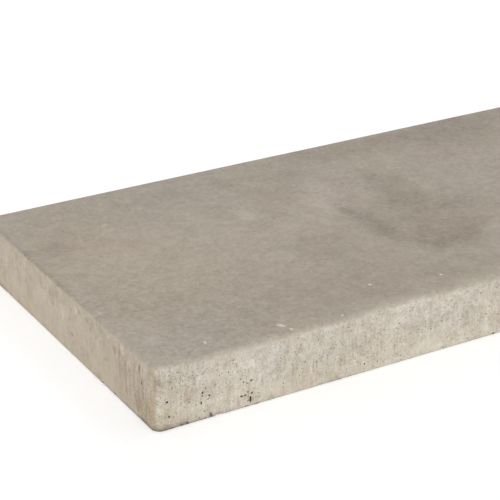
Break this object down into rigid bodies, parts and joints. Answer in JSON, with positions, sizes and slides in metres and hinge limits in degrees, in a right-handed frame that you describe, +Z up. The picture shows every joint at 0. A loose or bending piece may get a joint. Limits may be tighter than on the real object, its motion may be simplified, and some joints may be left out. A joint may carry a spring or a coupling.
{
  "type": "concrete gravel board",
  "caption": "Flat rectangular cast concrete plank with rounded upper edges, laid on edge between slotted posts to keep a fence panel off the ground.",
  "frame": {"origin": "middle of the underside, the struck face that the board lies on", "axes": "+X along the length, +Y across the width, +Z up through the thickness, out of the show face"},
  "size_m": [1.83, 0.305, 0.05],
  "materials": {
    "concrete": "fair-faced grey-brown cast concrete, smooth show face, paler pitted edges with upright drag marks, matte"
  },
  "bodies": {
    "root": {"gravel_board": "concrete"}
  },
  "joints": []
}
